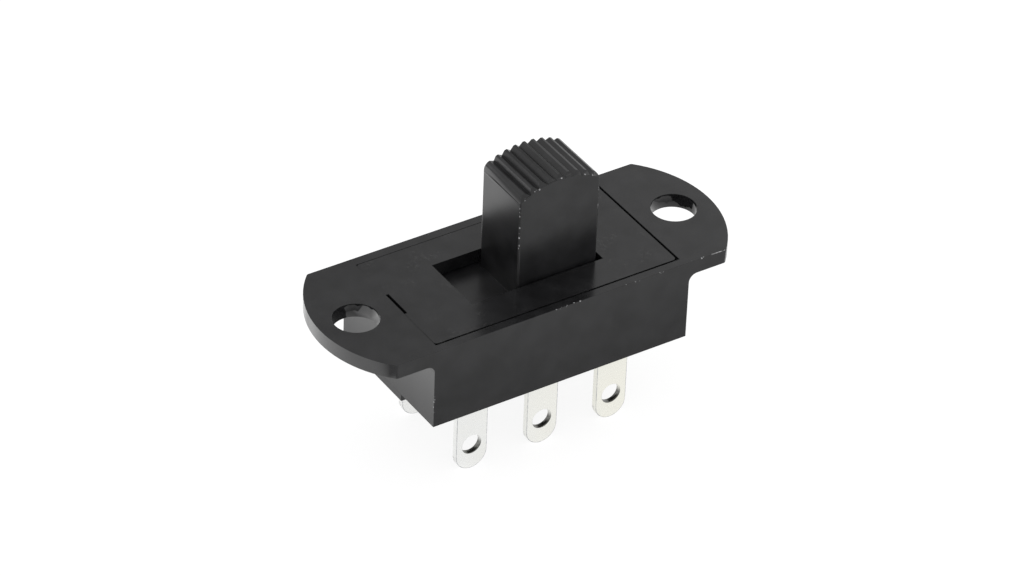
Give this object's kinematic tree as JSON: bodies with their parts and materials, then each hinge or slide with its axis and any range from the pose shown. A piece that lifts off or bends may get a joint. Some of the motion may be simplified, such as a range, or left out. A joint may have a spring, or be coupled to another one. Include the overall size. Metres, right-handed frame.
{
  "type": "slide switch",
  "caption": "Panel-mount slide switch with a ridged crowned knob in a slotted cover, flanged box housing with screw holes, and two rows of solder lugs with round eyes.",
  "frame": {"origin": "centre of the flange's top face, midway between the two mounting holes", "axes": "+X along the slot towards the end where the knob stands at rest, +Y from the front row of lugs to the rear row, +Z out of the panel, towards the knob"},
  "size_m": [0.0348, 0.0132, 0.0234],
  "materials": {
    "black_nylon": "satin moulded nylon",
    "black_knob": "satin moulded nylon",
    "silver_plate": "silver plated copper, slightly tarnished",
    "contact_silver": "fine silver rivet",
    "spring_steel": "bright spring wire",
    "plunger_brass": "turned brass"
  },
  "bodies": {
    "base": {"housing": "black_nylon", "cover": "black_nylon", "front_left_terminal": "silver_plate", "front_center_terminal": "silver_plate", "front_right_terminal": "silver_plate", "rear_left_terminal": "silver_plate", "rear_center_terminal": "silver_plate", "rear_right_terminal": "silver_plate", "front_left_fixed_contact": "contact_silver", "front_right_fixed_contact": "contact_silver", "rear_left_fixed_contact": "contact_silver", "rear_right_fixed_contact": "contact_silver"},
    "slider": {"actuator": "black_knob", "front_spring": "spring_steel", "rear_spring": "spring_steel"},
    "front_see_saw": {"front_rocker": "silver_plate", "front_left_moving_contact": "contact_silver", "front_right_moving_contact": "contact_silver"},
    "front_pin": {"front_plunger": "plunger_brass"},
    "rear_see_saw": {"rear_rocker": "silver_plate", "rear_left_moving_contact": "contact_silver", "rear_right_moving_contact": "contact_silver"},
    "rear_pin": {"rear_plunger": "plunger_brass"}
  },
  "joints": [
    {"name": "actuator_slide", "type": "slide", "parent": "base", "child": "slider", "axis": [1, 0, 0], "range_m": [-0.00372, 0]},
    {"name": "front_rocker_tilt", "type": "hinge", "parent": "base", "child": "front_see_saw", "pos_m": [0, -0.0015, -0.00483], "axis": [0, 1, 0], "range_deg": [-9.99, 0]},
    {"name": "front_plunger_slide", "type": "slide", "parent": "slider", "child": "front_pin", "axis": [0, 0, 1], "range_m": [0, 0.00025], "stiffness_N_per_m": 400, "deforming": ["front_spring"]},
    {"name": "rear_rocker_tilt", "type": "hinge", "parent": "base", "child": "rear_see_saw", "pos_m": [0, 0.0015, -0.00483], "axis": [0, 1, 0], "range_deg": [-9.99, 0]},
    {"name": "rear_plunger_slide", "type": "slide", "parent": "slider", "child": "rear_pin", "axis": [0, 0, 1], "range_m": [0, 0.00025], "stiffness_N_per_m": 400, "deforming": ["rear_spring"]}
  ],
  "couplings": [
    {"joint": "front_rocker_tilt", "follows": "actuator_slide", "rad_per_m": 46.856},
    {"joint": "rear_rocker_tilt", "follows": "actuator_slide", "rad_per_m": 46.856}
  ]
}
